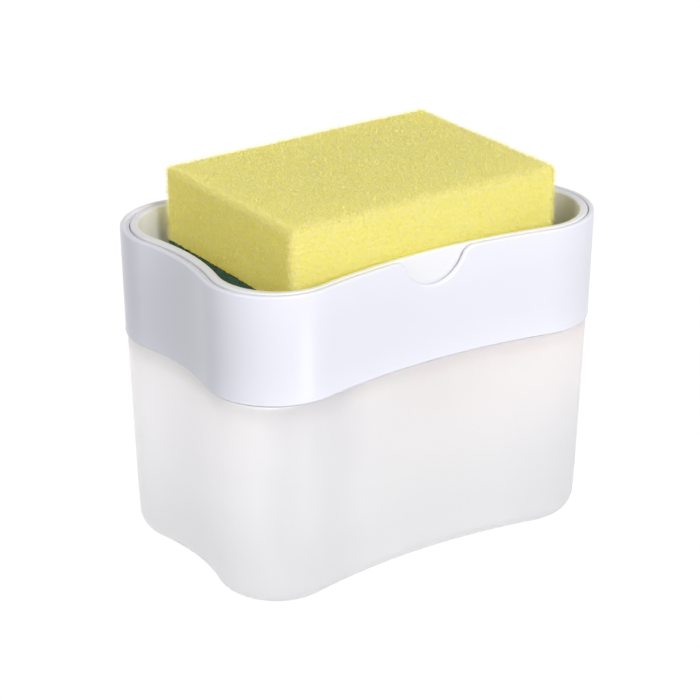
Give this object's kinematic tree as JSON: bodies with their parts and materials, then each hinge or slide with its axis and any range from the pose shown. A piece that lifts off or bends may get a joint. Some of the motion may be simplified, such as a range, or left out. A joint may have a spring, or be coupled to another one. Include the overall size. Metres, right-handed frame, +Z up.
{
  "type": "dish soap dispenser",
  "caption": "Press-top dish soap dispenser: a frosted tub with a white collar, a pump inside, and a tray on top that holds a sponge and is pressed down to bring up soap.",
  "frame": {"origin": "on the resting face, under the middle of the dispenser", "axes": "+Z up, +X along the long side, +Y across it, away from the side with the thumb notch"},
  "size_m": [0.14, 0.0926, 0.1214],
  "materials": {
    "frosted_plastic": "frosted translucent moulded polypropylene, satin",
    "white_plastic": "cool white moulded plastic, satin gloss",
    "tray_plastic": "slightly warmer white moulded plastic, satin gloss",
    "natural_plastic": "uncoloured moulded polypropylene",
    "seal_rubber": "soft matt seal",
    "yellow_foam": "open-cell foam with fine pores",
    "green_pad": "matted scouring fibre",
    "spring_steel": "bare drawn wire",
    "ball_steel": "polished"
  },
  "bodies": {
    "tub": {"reservoir": "frosted_plastic"},
    "cover": {"top_cover": "white_plastic", "pump_housing": "natural_plastic", "guide_collar": "natural_plastic", "ball_cage": "natural_plastic", "housing_gasket": "seal_rubber", "retaining_nut": "white_plastic", "dip_tube": "natural_plastic"},
    "inlet_valve_ball": {"inlet_ball": "ball_steel"},
    "plunger": {"press_head": "white_plastic", "nozzle_cap": "white_plastic", "pump_stem": "natural_plastic", "piston_rod": "natural_plastic", "piston": "seal_rubber", "return_spring": "spring_steel"},
    "outlet_valve_ball": {"outlet_ball": "ball_steel"},
    "tray": {"sponge_tray": "tray_plastic", "nozzle_seal": "seal_rubber"},
    "sponge": {"sponge_foam": "yellow_foam", "scour_pad": "green_pad"}
  },
  "joints": [
    {"name": "cover_lift", "type": "slide", "parent": "tub", "child": "cover", "axis": [0, 0, 1], "range_m": [0, 0.07]},
    {"name": "plunger_press", "type": "slide", "parent": "cover", "child": "plunger", "axis": [0, 0, -1], "range_m": [0, 0.01], "stiffness_N_per_m": 700, "springref_m": -0.01, "deforming": ["return_spring"]},
    {"name": "inlet_valve", "type": "slide", "parent": "cover", "child": "inlet_valve_ball", "axis": [0, 0, 1], "range_m": [0, 0.0015]},
    {"name": "outlet_valve", "type": "slide", "parent": "plunger", "child": "outlet_valve_ball", "axis": [0, 0, 1], "range_m": [0, 0.0012]},
    {"name": "tray_lift", "type": "slide", "parent": "plunger", "child": "tray", "axis": [0, 0, 1], "range_m": [0, 0.03]},
    {"name": "sponge_lift", "type": "slide", "parent": "tray", "child": "sponge", "axis": [0, 0, 1], "range_m": [0, 0.03]}
  ]
}
